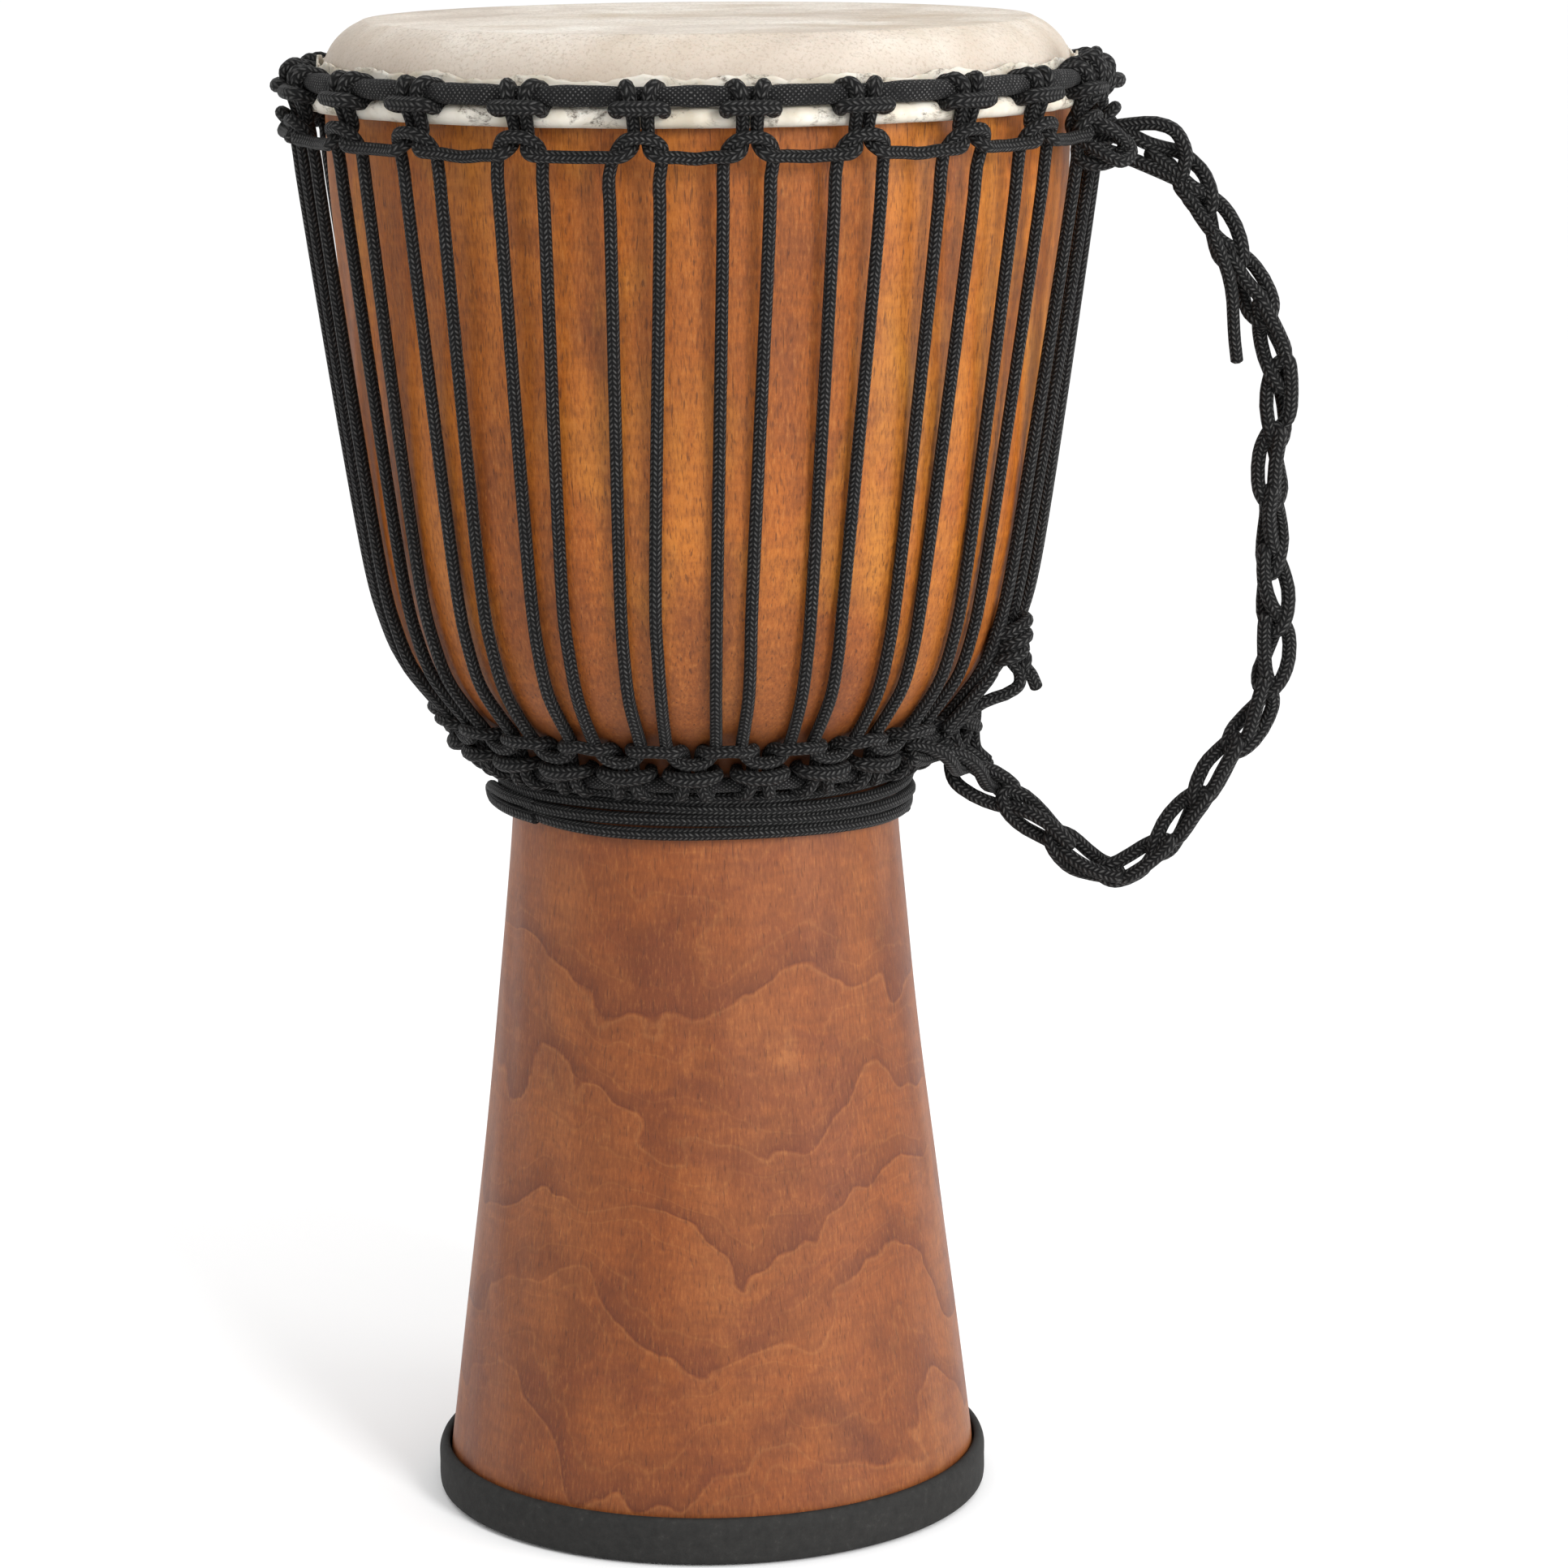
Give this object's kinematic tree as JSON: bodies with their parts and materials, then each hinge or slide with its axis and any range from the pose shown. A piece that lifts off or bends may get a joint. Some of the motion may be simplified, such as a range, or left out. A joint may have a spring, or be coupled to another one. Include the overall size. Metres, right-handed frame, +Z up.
{
  "type": "djembe",
  "caption": "Goblet-shaped hand drum: carved wooden shell, rope-tensioned goatskin head, knotted rope carry handle and rubber foot.",
  "frame": {"origin": "centre of the foot's underside, on the floor", "axes": "+Z up along the drum's axis to the playing head, +X towards the carry handle, -Y the front"},
  "size_m": [0.4073, 0.3399, 0.61],
  "materials": {
    "shell_wood": "satin oiled hardwood",
    "goatskin": "shaved goatskin",
    "flesh_steel": "plain steel rod",
    "crown_ring_steel": "plain steel rod",
    "crown_ring_cloth": "black woven tape",
    "bottom_ring_steel": "plain steel rod",
    "bottom_ring_cloth": "black woven tape",
    "top_cradle_cord": "black braided polyester rope",
    "bottom_cradle_cord": "black braided polyester rope",
    "tension_cord": "black braided polyester rope",
    "waist_cord": "black braided polyester rope",
    "pull_cord": "black braided polyester rope",
    "top_tie_cord": "black braided polyester rope",
    "bottom_tie_cord": "black braided polyester rope",
    "handle_cord": "black braided polyester rope",
    "tail_cord": "black braided polyester rope",
    "foot_rubber": "matte black rubber"
  },
  "bodies": {
    "drum": {"shell": "shell_wood", "drum_skin": "goatskin", "flesh_ring": "flesh_steel", "crown_ring": "crown_ring_steel", "crown_ring_wrap": "crown_ring_cloth", "bottom_ring": "bottom_ring_steel", "bottom_ring_wrap": "bottom_ring_cloth", "top_cradle_rope": "top_cradle_cord", "bottom_cradle_rope": "bottom_cradle_cord", "tension_rope": "tension_cord", "waist_winding": "waist_cord", "pull_knot": "pull_cord", "handle_top_tie": "top_tie_cord", "handle_bottom_tie": "bottom_tie_cord", "rubber_foot": "foot_rubber"},
    "handle": {"carry_handle": "handle_cord", "handle_tail": "tail_cord"}
  },
  "joints": [
    {"name": "handle_swing", "type": "hinge", "parent": "drum", "child": "handle", "pos_m": [0.11431, -0.01974, 0.301], "axis": [0.2107, -0.0364, 0.9769], "range_deg": [-50, 50]}
  ]
}
